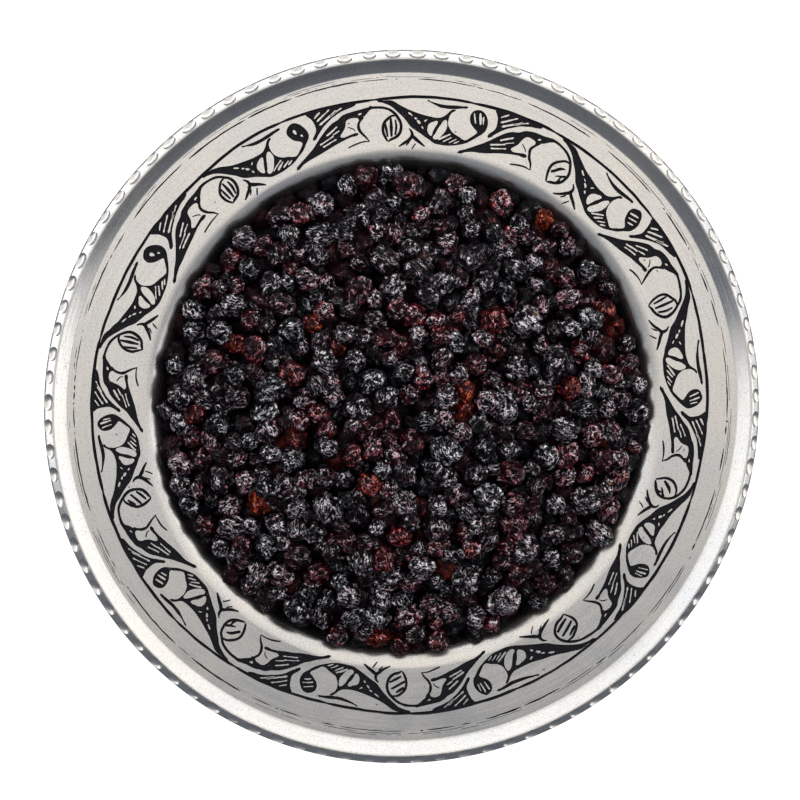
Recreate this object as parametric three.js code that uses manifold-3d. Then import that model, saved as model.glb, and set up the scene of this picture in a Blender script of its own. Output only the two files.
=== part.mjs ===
// A round engraved metal bowl heaped with dried currants.
// Millimetres, +Z up, origin at the middle of the bowl's flat underside.
import * as THREE from "three";
import { mergeVertices } from "three/addons/utils/BufferGeometryUtils.js";
import Module from "manifold-3d";

const wasm = await Module();
wasm.setup();

// Bowl: one spun sheet with a deep well, a flat flange and a raised, rolled rim
const rimRadius = 85.6; // half the overall diameter
const sheet = 1.25;
const flangeTop = 22;
const footRadius = 31; // flat underside that the bowl stands on
const floorRadius = 30;
const shoulder = 6; // radius of the rounded edge between well and flange
const wallRadius = 56.6; // upright side of the well under its shoulder
const stepRadius = 55.9; // where that side meets the hollow
const stepDepth = 6.6; // of the same line below the flange
const hollowBottom = 42; // radii and depth that steer the hollow's curve
const hollowSide = 52;
const hollowDepth = 11;
const flangeEnd = 80.2; // where the flange turns up into the rim
const rollRadius = 0.9; // the rolled edge in section
const crestRadius = 83.5; // the rim's highest line
const crest = 2.1; // and how far it stands above the flange
const crownRadius = 0.7; // the rounding there
const crownTurn = THREE.MathUtils.degToRad(37); // slope of the rim inside that line
const bandTurn = THREE.MathUtils.degToRad(38); // slope of the band outside it, down to the rolled edge
const outerFlare = 2.2; // how far past the flange's end the rim's underside and its inside start to rise
const innerFlare = 0.3;
const bowlSides = 46;
const insideSteps = 3; // chords in each curve of the profile
const outsideSteps = 3;

// Dents punched round that outer band
const scoops = 92;
const scoopLength = 2.6; // half of it
const scoopWidth = 1.85;
const scoopLift = 1.25; // of a dent's middle off the band

// Heap: berries dropped one by one, which settle on each other until the heap is full
const drops = 1300;
const candidates = 16; // places looked at in each drop, the lowest of which is taken
const berrySmall = 1.7; // radius
const berryLarge = 3.7;
const tightness = 0.9; // share of a berry's radius that keeps others off, as they press together
const edgeShare = 0.6; // share of its radius by which a berry's middle keeps inside the heap's edge
const heapRadius = 57.8;
const heapEdge = flangeTop + 0.6;
const heapRise = 12.5; // the heap's middle above its edge
const heapDepth = 6.5; // the bed under the loose berries, below the heap's surface
const heapFull = 0.2; // a berry whose middle would lie higher than this over the surface is left out
const firstRoll = 0.4; // share of a berry's radius, of its first step downhill
const lastRoll = 0.15;
const shorterRoll = 0.7; // each next step, as a share of the one before

// Solid heap: a core, and the berries that stand out most from it
const berrySpacing = 0.86; // share of two berries' radii that is kept between their middles
const berryShape = [1.14, 1.05, 0.96];
const coreDepth = 2; // the core's surface below the heap's
const coreRings = [55, 41, 20, 0]; // distances from the axis where that surface is drawn
const coreSides = 20;
const roomSides = 40;
const wallGap = 0.4; // between the fruit and the metal
const shoulderGap = 0.6;
const shoulderTurns = [180, 150, 120, 90]; // degrees round the shoulder's middle

// A closed mesh as a solid that can be joined and cut
function solid(geometry) {
  const bare = new THREE.BufferGeometry();
  bare.setAttribute("position", geometry.getAttribute("position"));
  bare.setIndex(geometry.getIndex());
  const merged = mergeVertices(bare, 1e-4);
  const vertProperties = new Float32Array(merged.getAttribute("position").array);
  const triVerts = new Uint32Array(merged.getIndex().array);
  return new wasm.Manifold(new wasm.Mesh({ numProp: 3, vertProperties, triVerts }));
}

function geometryOf(manifold) {
  const mesh = manifold.getMesh();
  const geometry = new THREE.BufferGeometry();
  geometry.setAttribute("position", new THREE.BufferAttribute(mesh.vertProperties, 3));
  geometry.setIndex(new THREE.BufferAttribute(mesh.triVerts, 1));
  geometry.computeVertexNormals();
  return geometry;
}

// A profile of (radius, height) points turned round the Z axis
function turned(points, sides) {
  return new THREE.LatheGeometry(points, sides).rotateX(Math.PI / 2);
}

// Bowl

const shoulderMiddle = new THREE.Vector2(wallRadius + shoulder, flangeTop - shoulder);
const crown = new THREE.Vector2(crestRadius, flangeTop + crest - crownRadius);
const bandNormal = new THREE.Vector2(Math.sin(bandTurn), Math.cos(bandTurn));

// The rolled edge lies where the band touches both roundings
const rollX = rimRadius - rollRadius;
const rollDrop = ((rollX - crown.x) * bandNormal.x - crownRadius + rollRadius) / bandNormal.y;
const rollMiddle = new THREE.Vector2(rollX, crown.y - rollDrop);
const crownEnd = crown.clone().addScaledVector(bandNormal, crownRadius);
const rollEnd = rollMiddle.clone().addScaledVector(bandNormal, rollRadius);

// The inside of the well, from its flat floor up to the step under its shoulder
const hollow = new THREE.CubicBezierCurve(
  new THREE.Vector2(floorRadius, sheet),
  new THREE.Vector2(hollowBottom, sheet),
  new THREE.Vector2(hollowSide, flangeTop - hollowDepth),
  new THREE.Vector2(stepRadius, flangeTop - stepDepth),
);

function outsideProfile() {
  const { v1, v2, v3 } = hollow;
  const out = sheet * Math.SQRT1_2; // each way through the sheet, where it slopes
  const underFlange = flangeTop - sheet;
  const path = new THREE.Path();
  path.moveTo(0, 0);
  path.lineTo(footRadius, 0);
  path.bezierCurveTo(v1.x + out / 2, 0, v2.x + out, v2.y - out, v3.x + out, v3.y - out);
  path.absarc(shoulderMiddle.x, shoulderMiddle.y, shoulder - sheet, Math.PI, Math.PI / 2, true);
  path.lineTo(flangeEnd, underFlange);
  path.quadraticCurveTo(flangeEnd + outerFlare, underFlange, rollMiddle.x, rollMiddle.y - rollRadius);
  path.absarc(rollMiddle.x, rollMiddle.y, rollRadius, -Math.PI / 2, Math.PI / 2 - bandTurn, false);
  return path.getPoints(outsideSteps);
}

function insideProfile() {
  const { v0, v1, v2, v3 } = hollow;
  const path = new THREE.Path();
  const peak = crown.y + crownRadius / Math.cos((crownTurn + bandTurn) / 2);
  const footX = crown.x - crownRadius * Math.sin(crownTurn);
  const footY = crown.y + crownRadius * Math.cos(crownTurn);
  path.moveTo(crownEnd.x, crownEnd.y);
  path.quadraticCurveTo(crown.x, peak, footX, footY);
  path.quadraticCurveTo(flangeEnd + innerFlare, flangeTop, flangeEnd, flangeTop);
  path.lineTo(shoulderMiddle.x, flangeTop);
  path.absarc(shoulderMiddle.x, shoulderMiddle.y, shoulder, Math.PI / 2, Math.PI, false);
  path.lineTo(v3.x, v3.y);
  path.bezierCurveTo(v2.x, v2.y, v1.x, v1.y, v0.x, v0.y);
  path.lineTo(0, sheet);
  return path.getPoints(insideSteps);
}

function scoop(turn) {
  const dent = new THREE.IcosahedronGeometry(1, 0);
  dent.scale(scoopWidth, scoopLength, scoopWidth);
  const middle = crownEnd.clone().lerp(rollEnd, 0.5).addScaledVector(bandNormal, scoopLift);
  dent.translate(middle.x, 0, middle.y);
  dent.rotateZ(turn);
  return solid(dent);
}

function bowl() {
  let body = solid(turned([...outsideProfile(), ...insideProfile()], bowlSides));
  for (let i = 0; i < scoops; i++) {
    body = body.subtract(scoop(((i + 0.5) * 2 * Math.PI) / scoops));
  }
  return geometryOf(body);
}

// Heap of currants

let seed = 20817;
function random() {
  seed = (seed * 16807) % 2147483647;
  return seed / 2147483647;
}

// The heap's surface over a point at some distance from the middle
function heapHeight(distance) {
  const share = Math.min(1, distance / heapRadius);
  return heapEdge + heapRise * (1 - share * share);
}

// The lowest that a berry's middle can lie over a point, on the bed and on the berries already there
function restHeight(x, y, radius, berries) {
  let height = heapHeight(Math.sqrt(x * x + y * y)) - heapDepth + radius * tightness;
  for (const other of berries) {
    const dx = x - other.x;
    const dy = y - other.y;
    const reach = (radius + other.radius) * tightness;
    const room = reach * reach - dx * dx - dy * dy;
    if (room > 0) height = Math.max(height, other.z + Math.sqrt(room));
  }
  return height;
}

// A berry takes the lowest of a few random places, then rolls downhill in shorter and shorter steps
function dropBerry(berries) {
  const radius = berrySmall + ((berryLarge - berrySmall) * (random() + random())) / 2;
  const limit = heapRadius - radius * edgeShare;
  let spot = null;
  for (let tried = 0; tried < candidates; ) {
    const x = (2 * random() - 1) * limit;
    const y = (2 * random() - 1) * limit;
    const distance = Math.sqrt(x * x + y * y);
    if (distance > limit) continue;
    tried += 1;
    const z = restHeight(x, y, radius, berries);
    const above = z - heapHeight(distance);
    if (!spot || above < spot.above) spot = { x, y, z, above };
  }
  for (let step = radius * firstRoll; step > lastRoll; step *= shorterRoll) {
    for (const [alongX, alongY] of [[1, 0], [-1, 0], [0, 1], [0, -1]]) {
      const x = spot.x + alongX * step;
      const y = spot.y + alongY * step;
      if (Math.sqrt(x * x + y * y) > limit) continue;
      const z = restHeight(x, y, radius, berries);
      if (z < spot.z) spot = { x, y, z };
    }
  }
  const tilt = random() * Math.PI;
  const heading = random() * 2 * Math.PI;
  return { x: spot.x, y: spot.y, z: spot.z, radius, tilt, heading };
}

function settledBerries() {
  const berries = [];
  for (let i = 0; i < drops; i++) {
    const berry = dropBerry(berries);
    const distance = Math.sqrt(berry.x * berry.x + berry.y * berry.y);
    if (berry.z - heapHeight(distance) < heapFull) berries.push(berry);
  }
  return berries;
}

// Taken from the one that stands out most downwards, and kept apart
function prominentBerries() {
  const standing = ({ x, y, z, radius }) => z + radius - heapHeight(Math.hypot(x, y));
  const kept = [];
  for (const berry of settledBerries().sort((a, b) => standing(b) - standing(a))) {
    const crowded = kept.some((other) => {
      const apart = Math.hypot(berry.x - other.x, berry.y - other.y);
      return apart < (berry.radius + other.radius) * berrySpacing;
    });
    if (!crowded) kept.push(berry);
  }
  return kept;
}

// The space in and over the well, a little clear of the metal
function room() {
  const ceiling = heapEdge + heapRise + 2 * berryLarge;
  const profile = [new THREE.Vector2(0, sheet), new THREE.Vector2(floorRadius - wallGap, sheet)];
  for (const point of hollow.getPoints(insideSteps).slice(1)) {
    profile.push(new THREE.Vector2(point.x - wallGap, point.y + wallGap));
  }
  for (const angle of shoulderTurns) {
    const turn = THREE.MathUtils.degToRad(angle);
    const reach = shoulder + shoulderGap;
    const x = shoulderMiddle.x + Math.cos(turn) * reach;
    profile.push(new THREE.Vector2(x, shoulderMiddle.y + Math.sin(turn) * reach));
  }
  profile.push(new THREE.Vector2(shoulderMiddle.x, ceiling), new THREE.Vector2(0, ceiling));
  return solid(turned(profile, roomSides));
}

// The berries lower down, as one mass
function core() {
  const profile = [new THREE.Vector2(0, sheet), new THREE.Vector2(wallRadius, sheet)];
  for (const distance of coreRings) {
    profile.push(new THREE.Vector2(distance, heapHeight(distance) - coreDepth));
  }
  return solid(turned(profile, coreSides));
}

function berrySolid({ x, y, z, radius, tilt, heading }) {
  const berry = new THREE.IcosahedronGeometry(radius, 0);
  berry.scale(...berryShape);
  berry.rotateX(tilt);
  berry.rotateZ(heading);
  berry.translate(x, y, z);
  return solid(berry);
}

function currants() {
  let heap = core();
  for (const berry of prominentBerries()) heap = heap.add(berrySolid(berry));
  const pieces = heap.intersect(room()).decompose();
  pieces.sort((a, b) => b.volume() - a.volume());
  return geometryOf(pieces[0]);
}

function named(name, geometry, color, roughness, metalness) {
  const material = new THREE.MeshStandardMaterial({ color, roughness, metalness });
  const mesh = new THREE.Mesh(geometry, material);
  mesh.name = name;
  return mesh;
}

const bowlOfCurrants = new THREE.Group();
bowlOfCurrants.add(named("bowl", bowl(), 0xc9c5bc, 0.3, 1));
bowlOfCurrants.add(named("currants", currants(), 0x1c1214, 0.45, 0));

export default bowlOfCurrants;
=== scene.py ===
# An engraved metal bowl heaped with dried currants.
# Metres, +Z up, the origin in the middle of the bowl's flat underside, as in the frame.
import math
import random

import bmesh
import bpy
from mathutils import Matrix, Vector


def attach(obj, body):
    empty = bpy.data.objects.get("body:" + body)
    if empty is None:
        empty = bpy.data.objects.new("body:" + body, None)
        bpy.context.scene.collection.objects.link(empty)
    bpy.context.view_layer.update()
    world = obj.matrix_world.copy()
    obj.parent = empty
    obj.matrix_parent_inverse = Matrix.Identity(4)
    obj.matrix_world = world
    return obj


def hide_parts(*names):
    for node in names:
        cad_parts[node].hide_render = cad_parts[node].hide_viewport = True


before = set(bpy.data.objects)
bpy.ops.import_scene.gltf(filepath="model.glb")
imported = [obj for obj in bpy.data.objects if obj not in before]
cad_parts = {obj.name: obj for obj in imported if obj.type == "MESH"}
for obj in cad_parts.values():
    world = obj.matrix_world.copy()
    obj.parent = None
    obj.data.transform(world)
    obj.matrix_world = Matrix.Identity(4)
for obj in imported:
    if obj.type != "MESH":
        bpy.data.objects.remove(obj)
bpy.ops.object.select_all(action="DESELECT")
mm = 0.001


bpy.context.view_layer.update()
print("frame loaded")


# Small helpers for editing by hand

def onlySelected(piece):
    bpy.ops.object.select_all(action="DESELECT")
    piece.select_set(True)
    bpy.context.view_layer.objects.active = piece


def editing(piece):
    onlySelected(piece)
    bpy.ops.object.mode_set(mode="EDIT")


def doneEditing():
    bpy.ops.object.mode_set(mode="OBJECT")


def pickFaces(piece, wanted):
    bpy.ops.mesh.select_mode(type="FACE")
    bpy.ops.mesh.select_all(action="DESELECT")
    mesh = bmesh.from_edit_mesh(piece.data)
    for face in mesh.faces:
        face.select_set(wanted(face))
    bmesh.update_edit_mesh(piece.data)


def applyAll(piece):
    onlySelected(piece)
    for modifier in list(piece.modifiers):
        bpy.ops.object.modifier_apply(modifier=modifier.name)


def ownCopy(piece, name):
    copy = piece.copy()
    copy.data = piece.data.copy()
    copy.name = name
    bpy.context.scene.collection.objects.link(copy)
    return copy


def joined(pieces, name):
    bpy.ops.object.select_all(action="DESELECT")
    for piece in pieces:
        piece.select_set(True)
    bpy.context.view_layer.objects.active = pieces[0]
    bpy.ops.object.join()
    pieces[0].name = name
    pieces[0].data.name = name
    return pieces[0]


def turned(profile, steps):
    # a profile, as distances from the axis and heights, drawn point by point and spun round the axis
    bpy.ops.mesh.primitive_plane_add(size=2 * mm, location=(0, 0, 0))
    piece = bpy.context.object
    bpy.ops.object.mode_set(mode="EDIT")
    bpy.ops.mesh.select_mode(type="VERT")
    bpy.ops.mesh.merge(type="CENTER")
    here = profile[0]
    bpy.ops.transform.translate(value=(here[0], 0, here[1]))
    for spot in profile[1:]:
        move = (spot[0] - here[0], 0, spot[1] - here[1])
        bpy.ops.mesh.extrude_region_move(TRANSFORM_OT_translate={"value": move})
        here = spot
    bpy.ops.mesh.select_all(action="SELECT")
    bpy.ops.mesh.spin(steps=steps, angle=2 * math.pi, center=(0, 0, 0), axis=(0, 0, 1))
    bpy.ops.mesh.select_all(action="SELECT")
    bpy.ops.mesh.remove_doubles(threshold=0.002 * mm)
    bpy.ops.mesh.normals_make_consistent(inside=False)
    doneEditing()
    return piece


def setAttribute(piece, name, values):
    # one number a vertex, which the materials read
    attributes = piece.data.attributes
    attribute = attributes.get(name) or attributes.new(name, "FLOAT", "POINT")
    attribute.data.foreach_set("value", values)


# Node trees

def addNode(tree, kind, x, y, **settings):
    node = tree.nodes.new(kind)
    node.location = (x, y)
    for name, value in settings.items():
        setattr(node, name, value)
    return node


def feed(tree, socket, value):
    # a number or a colour is set, another node's output is linked
    if isinstance(value, (int, float)):
        socket.default_value = value
    elif isinstance(value, tuple):
        socket.default_value = (*value, 1)
    else:
        tree.links.new(value, socket)


def feedAll(tree, node, **values):
    for name, value in values.items():
        feed(tree, node.inputs[name], value)


def mathNode(tree, operation, x, y, *values):
    node = addNode(tree, "ShaderNodeMath", x, y, operation=operation)
    for socket, value in zip(node.inputs, values):
        feed(tree, socket, value)
    return node.outputs[0]


def noiseNode(tree, x, y, vector, scale, detail, distortion=0.0):
    node = addNode(tree, "ShaderNodeTexNoise", x, y)
    feedAll(tree, node, Vector=vector, Scale=scale, Detail=detail, Distortion=distortion)
    return node.outputs["Fac"]


def rangeNode(tree, x, y, value, given, wanted=(0.0, 1.0), kind="LINEAR"):
    # a value in one range brought to another
    node = addNode(tree, "ShaderNodeMapRange", x, y, interpolation_type=kind)
    feed(tree, node.inputs["Value"], value)
    for ends, label in ((given, "From "), (wanted, "To ")):
        feed(tree, node.inputs[label + "Min"], ends[0])
        feed(tree, node.inputs[label + "Max"], ends[1])
    return node.outputs[0]


def lineNode(tree, x, y, value, width):
    # 1 where the value is 0, and nothing beyond a width
    return rangeNode(tree, x, y, value, (0.0, width), (1.0, 0.0), "SMOOTHSTEP")


def rampNode(tree, factor, x, y, stops):
    node = addNode(tree, "ShaderNodeValToRGB", x, y)
    elements = node.color_ramp.elements
    while len(elements) < len(stops):
        elements.new(0.5)
    for element, (place, colour) in zip(elements, stops):
        element.position = place
        element.color = (*colour, 1)
    tree.links.new(factor, node.inputs[0])
    return node.outputs[0]


def mixColours(tree, x, y, share, first, second):
    node = addNode(tree, "ShaderNodeMix", x, y, data_type="RGBA")
    for index, value in ((0, share), (6, first), (7, second)):
        feed(tree, node.inputs[index], value)
    return node.outputs[2]


def newGroup(name, inputs, outputs):
    tree = bpy.data.node_groups.new(name, "ShaderNodeTree")
    tree.interface.new_socket(name="Place", in_out="INPUT", socket_type="NodeSocketVector")
    for label, value in inputs.items():
        socket = tree.interface.new_socket(name=label, in_out="INPUT", socket_type="NodeSocketFloat")
        socket.default_value = value
    for label in outputs:
        tree.interface.new_socket(name=label, in_out="OUTPUT", socket_type="NodeSocketFloat")
    start = addNode(tree, "NodeGroupInput", -900, 0)
    end = addNode(tree, "NodeGroupOutput", 700, 0)
    return tree, start.outputs, end.inputs


def useGroup(tree, group, x, y, **values):
    node = addNode(tree, "ShaderNodeGroup", x, y, node_tree=group)
    feedAll(tree, node, **values)
    return node.outputs


# Lines that turning and polishing leave round the axis: fine ones, and broad soft rings
def turnedLinesGroup():
    tree, start, end = newGroup("turnedLines", {"Density": 2200.0, "Wander": 6.0}, ["Lines", "Rings"])
    split = addNode(tree, "ShaderNodeSeparateXYZ", -700, 0)
    tree.links.new(start["Place"], split.inputs[0])
    across, along, height = split.outputs
    squares = mathNode(tree, "ADD", -540, 60, mathNode(tree, "MULTIPLY", -620, 120, across, across),
                       mathNode(tree, "MULTIPLY", -620, 0, along, along))
    radius = mathNode(tree, "MAXIMUM", -380, 60, mathNode(tree, "SQRT", -460, 60, squares), 1e-5)
    run = mathNode(tree, "ADD", -300, 60, radius, height)
    spot = addNode(tree, "ShaderNodeCombineXYZ", -120, 60)
    for index, y in ((0, -80), (1, -160)):
        side = mathNode(tree, "DIVIDE", -300, y, split.outputs[index], radius)
        feed(tree, spot.inputs[index], mathNode(tree, "MULTIPLY", -220, y, side, start["Wander"]))
    feed(tree, spot.inputs[2], mathNode(tree, "MULTIPLY", -220, 60, run, start["Density"]))
    feed(tree, end["Lines"], noiseNode(tree, 60, 100, spot.outputs[0], 1.0, 3.0))
    feed(tree, end["Rings"], noiseNode(tree, 60, -120, spot.outputs[0], 0.16, 1.0))
    return tree


# What use leaves: clouded smudges, and small pits
def handMarksGroup():
    tree, start, end = newGroup("handMarks", {"Smudge Scale": 60.0, "Pit Scale": 2600.0},
                                ["Smudge", "Pits", "Grain"])
    place = start["Place"]
    feed(tree, end["Smudge"], noiseNode(tree, -300, 100, place, start["Smudge Scale"], 4.0, 0.6))
    pits = noiseNode(tree, -300, -160, place, start["Pit Scale"], 2.0)
    feed(tree, end["Pits"], rangeNode(tree, 0, -160, pits, (0.66, 0.74)))
    feed(tree, end["Grain"], rangeNode(tree, 0, -360, pits, (0.35, 0.65)))
    return tree


# Net of fine creases on a dried skin, with its grain
def creasesGroup():
    tree, start, end = newGroup("creases", {"Girth": 0.0, "Fold Scale": 900.0, "Grain Scale": 4000.0},
                                ["Net", "Grain", "Sheen"])
    place = start["Place"]

    def scaled(y, share):
        return mathNode(tree, "MULTIPLY", -650, y, start["Fold Scale"], share)

    lines = []
    for y, stretch in ((120, 1.0), (-60, 1.7)):
        # a ridge runs wherever the noise passes its middle, so ridges wind and close on themselves
        folds = noiseNode(tree, -500, y, place, scaled(y, stretch), 1.0, 0.5)
        off = mathNode(tree, "ABSOLUTE", -200, y, mathNode(tree, "SUBTRACT", -330, y, folds, 0.5))
        lines.append(lineNode(tree, -60, y, off, 0.045))
    net = mathNode(tree, "MAXIMUM", 200, 60, lines[0], mathNode(tree, "MULTIPLY", 80, -60, lines[1], 0.45))
    # and rings that follow each other along the fruit, bent by a noise
    bend = noiseNode(tree, -500, 300, place, scaled(300, 0.8), 2.0)
    phase = mathNode(tree, "ADD", -200, 300, mathNode(tree, "MULTIPLY", -330, 360, start["Girth"], 4.4),
                     mathNode(tree, "MULTIPLY", -330, 280, bend, 9.0))
    near = mathNode(tree, "ABSOLUTE", 40, 300, mathNode(tree, "SINE", -80, 300, phase))
    rings = lineNode(tree, 160, 300, near, 0.5)
    net = mathNode(tree, "MAXIMUM", 320, 60, mathNode(tree, "MULTIPLY", 260, 60, net, 0.75), rings)
    feed(tree, end["Net"], net)
    feed(tree, end["Grain"], noiseNode(tree, -160, -220, place, start["Grain Scale"], 3.0))
    # patches in which the painted highlights show, a painted sheen
    clouds = noiseNode(tree, -500, -420, place, scaled(-420, 0.65), 1.0)
    feed(tree, end["Sheen"], rangeNode(tree, -160, -420, clouds, (0.36, 0.64), kind="SMOOTHSTEP"))
    return tree


turnedLines = turnedLinesGroup()
handMarks = handMarksGroup()
creases = creasesGroup()


def newMaterial(name):
    material = bpy.data.materials.new(name)
    material.use_nodes = True
    tree = material.node_tree
    shader = tree.nodes["Principled BSDF"]
    shader.location = (500, 0)
    place = addNode(tree, "ShaderNodeTexCoord", -1100, 0).outputs["Object"]
    return material, tree, shader, place


def bumpInto(tree, shader, height, distance):
    bump = addNode(tree, "ShaderNodeBump", 260, -300)
    feedAll(tree, bump, Strength=1.0, Distance=distance, Height=height)
    tree.links.new(bump.outputs[0], shader.inputs["Normal"])


metalLook = {
    "cool": (0.62, 0.615, 0.61),
    "warm": (0.72, 0.69, 0.64),
    "worn": (0.34, 0.33, 0.325),
    "smooth": 0.2,
    "rough": 0.36,
    "lineDepth": 0.012 * mm,
    "blackened": (0.005, 0.005, 0.008),
    "bare": (0.2, 0.19, 0.18),
    "cutShine": 0.15,
    "cutRoughness": 0.04 * mm,
}


def tinnedMetal():
    look = metalLook
    material, tree, shader, place = newMaterial("tinnedMetal")
    lines = useGroup(tree, turnedLines, -850, 200, Place=place, Density=2600.0, Wander=5.0)
    marks = useGroup(tree, handMarks, -850, -200, Place=place)

    def times(x, y, value, share):
        return mathNode(tree, "MULTIPLY", x, y, value, share)

    tint = rampNode(tree, marks["Smudge"], -560, 300, [(0.35, look["cool"]), (0.65, look["warm"])])
    tint = mixColours(tree, -200, 300, times(-560, 60, lines["Lines"], 0.5), tint, look["cool"])
    tint = mixColours(tree, -60, 300, times(-160, 160, marks["Grain"], 0.3), tint, look["worn"])
    tint = mixColours(tree, 60, 300, times(-60, 120, marks["Pits"], 0.7), tint, look["worn"])
    rough = mathNode(tree, "ADD", -380, -60, times(-470, -20, lines["Lines"], 0.6),
                     times(-470, -100, marks["Smudge"], 0.4))
    rough = rangeNode(tree, -200, -60, rough, (0.3, 0.7), (look["smooth"], look["rough"]))
    feedAll(tree, shader, **{"Base Color": tint, "Roughness": rough, "Metallic": 1.0})
    height = mathNode(tree, "ADD", 60, -300, times(-60, -260, lines["Lines"], 0.35),
                      times(-60, -340, lines["Rings"], 2.2))
    height = mathNode(tree, "SUBTRACT", 160, -300, height, marks["Pits"])
    bumpInto(tree, shader, height, look["lineDepth"])
    return material


def blackenedCut():
    look = metalLook
    material, tree, shader, place = newMaterial("blackenedCut")
    marks = useGroup(tree, handMarks, -850, 0, **{"Place": place, "Smudge Scale": 900.0,
                                                  "Pit Scale": 2200.0})
    bare = mathNode(tree, "MULTIPLY", -400, 100, marks["Pits"], 0.3)
    tint = mixColours(tree, -100, 200, bare, look["blackened"], look["bare"])
    rough = mathNode(tree, "MULTIPLY_ADD", -100, -100, marks["Smudge"], 0.3, 0.5)
    feedAll(tree, shader, **{"Base Color": tint, "Roughness": rough, "Specular IOR Level": look["cutShine"]})
    bumpInto(tree, shader, marks["Smudge"], look["cutRoughness"])
    return material


# Bowl

bowl = {
    "rimRadius": 85.6 * mm,
    "sheet": 1.25 * mm,
    "flangeTop": 22 * mm,
    "footRadius": 31 * mm,
    "floorRadius": 30 * mm,
    "shoulder": 6 * mm,  # radius of the rounded edge between well and flange
    "wallRadius": 56.6 * mm,
    "stepRadius": 55.9 * mm,
    "stepDepth": 6.6 * mm,
    "hollowBottom": 42 * mm,
    "hollowSide": 52 * mm,
    "hollowDepth": 11 * mm,
    "flangeEnd": 80.2 * mm,
    "rollRadius": 0.9 * mm,
    "crestRadius": 83.5 * mm,  # the rim's highest line
    "crest": 2.1 * mm,  # and how far it stands over the flange
    "crownRadius": 0.7 * mm,
    "crownTurn": 37,  # slope of the rim inside that line, in degrees
    "bandTurn": 38,  # and of the band outside it, where the dents are
    "outerFlare": 2.2 * mm,
    "innerFlare": 0.3 * mm,
    "dents": 92,
    "dentLength": 2.5 * mm,  # half of it
    "dentWidth": 1.81 * mm,
    "dentLift": 1.26 * mm,  # its middle off the band
    "dentUneven": 0.16 * mm,
    "sidesForDent": 4,
    "seed": 41,
}

shoulderMiddle = (bowl["wallRadius"] + bowl["shoulder"], bowl["flangeTop"] - bowl["shoulder"])
crown = Vector((bowl["crestRadius"], bowl["flangeTop"] + bowl["crest"] - bowl["crownRadius"]))
bandNormal = Vector((math.sin(math.radians(bowl["bandTurn"])), math.cos(math.radians(bowl["bandTurn"]))))
# the rolled edge lies where the band touches both roundings
rollX = bowl["rimRadius"] - bowl["rollRadius"]
rollDrop = ((rollX - crown.x) * bandNormal.x - bowl["crownRadius"] + bowl["rollRadius"]) / bandNormal.y
rollMiddle = Vector((rollX, crown.y - rollDrop))
crownEnd = crown + bandNormal * bowl["crownRadius"]
rollEnd = rollMiddle + bandNormal * bowl["rollRadius"]


def bezier(guides, steps):
    # points of a curve after its first, which the line before it already has
    points = []
    for step in range(1, steps + 1):
        level = [Vector(guide) for guide in guides]
        while len(level) > 1:
            level = [a.lerp(b, step / steps) for a, b in zip(level, level[1:])]
        points.append(tuple(level[0]))
    return points


def arc(middle, radius, start, end, steps):
    turns = [math.radians(start + (end - start) * step / steps) for step in range(1, steps + 1)]
    return [(middle[0] + radius * math.cos(turn), middle[1] + radius * math.sin(turn)) for turn in turns]


def bowlProfile():
    b = bowl
    top = b["flangeTop"]
    sheet = b["sheet"]
    under = top - sheet
    out = sheet * math.sqrt(0.5)
    hollow = [(b["floorRadius"], sheet), (b["hollowBottom"], sheet),
              (b["hollowSide"], top - b["hollowDepth"]), (b["stepRadius"], top - b["stepDepth"])]
    outer = [(b["footRadius"], 0), (hollow[1][0] + out / 2, 0),
             (hollow[2][0] + out, hollow[2][1] - out), (hollow[3][0] + out, hollow[3][1] - out)]
    roll = b["rollRadius"]
    end = b["flangeEnd"]
    points = [(0, 0), (b["footRadius"] * 0.5, 0), (b["footRadius"] * 0.98, 0), (b["footRadius"], 0)]
    points += bezier(outer, 12)
    points += arc(shoulderMiddle, b["shoulder"] - sheet, 180, 90, 6)
    points += [(end, under)]
    rollFoot = (rollMiddle[0], rollMiddle[1] - roll)
    points += bezier([(end, under), (end + b["outerFlare"], under), rollFoot], 6)
    points += arc(rollMiddle, roll, -90, 90 - b["bandTurn"], 12)
    points += bezier([rollEnd, crownEnd], 4)
    points += arc(crown, b["crownRadius"], 90 - b["bandTurn"], 90 + b["crownTurn"], 9)
    points += bezier([points[-1], (end + b["innerFlare"], top), (end, top)], 12)
    # lines close to the ends of the flange keep it flat in the shading
    for inset in (0.2, 0.6):
        points += [(end - inset * mm, top)]
    for inset in (0.6, 0.2, 0):
        points += [(shoulderMiddle[0] + inset * mm, top)]
    points += arc(shoulderMiddle, b["shoulder"], 90, 180, 14)
    points += [hollow[3]]
    points += bezier(hollow[::-1], 10)
    points += [(b["floorRadius"] * 0.5, sheet), (0, sheet)]
    return points


def turnedBowl():
    piece = turned(bowlProfile(), bowl["dents"] * bowl["sidesForDent"])
    piece.name = "engravedBowl"
    return piece


def dentCutters(chance):
    bpy.ops.mesh.primitive_uv_sphere_add(segments=22, ring_count=14, radius=1)
    first = bpy.context.object
    editing(first)
    bpy.ops.mesh.select_all(action="SELECT")
    bpy.ops.transform.resize(value=(bowl["dentWidth"], bowl["dentLength"], bowl["dentWidth"]))
    doneEditing()
    onBand = crownEnd.lerp(rollEnd, 0.5)
    uneven = bowl["dentUneven"]
    cutters = []
    for index in range(bowl["dents"]):
        cutter = ownCopy(first, "dent")
        turn = 2 * math.pi * (index + 0.5) / bowl["dents"]
        turn += chance.uniform(-1, 1) * uneven / bowl["rimRadius"]
        size = Matrix.Diagonal((*[chance.uniform(0.94, 1.08) for _ in range(3)], 1))
        lean = Matrix.Rotation(chance.uniform(-0.15, 0.15), 4, "X")
        spot = onBand + bandNormal * (bowl["dentLift"] + chance.uniform(-0.9, 0.6) * uneven)
        place = Matrix.Translation((spot.x, 0, spot.y))
        cutter.data.transform(Matrix.Rotation(turn, 4, "Z") @ place @ lean @ size)
        cutters.append(cutter)
    bpy.data.objects.remove(first)
    return cutters


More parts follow.
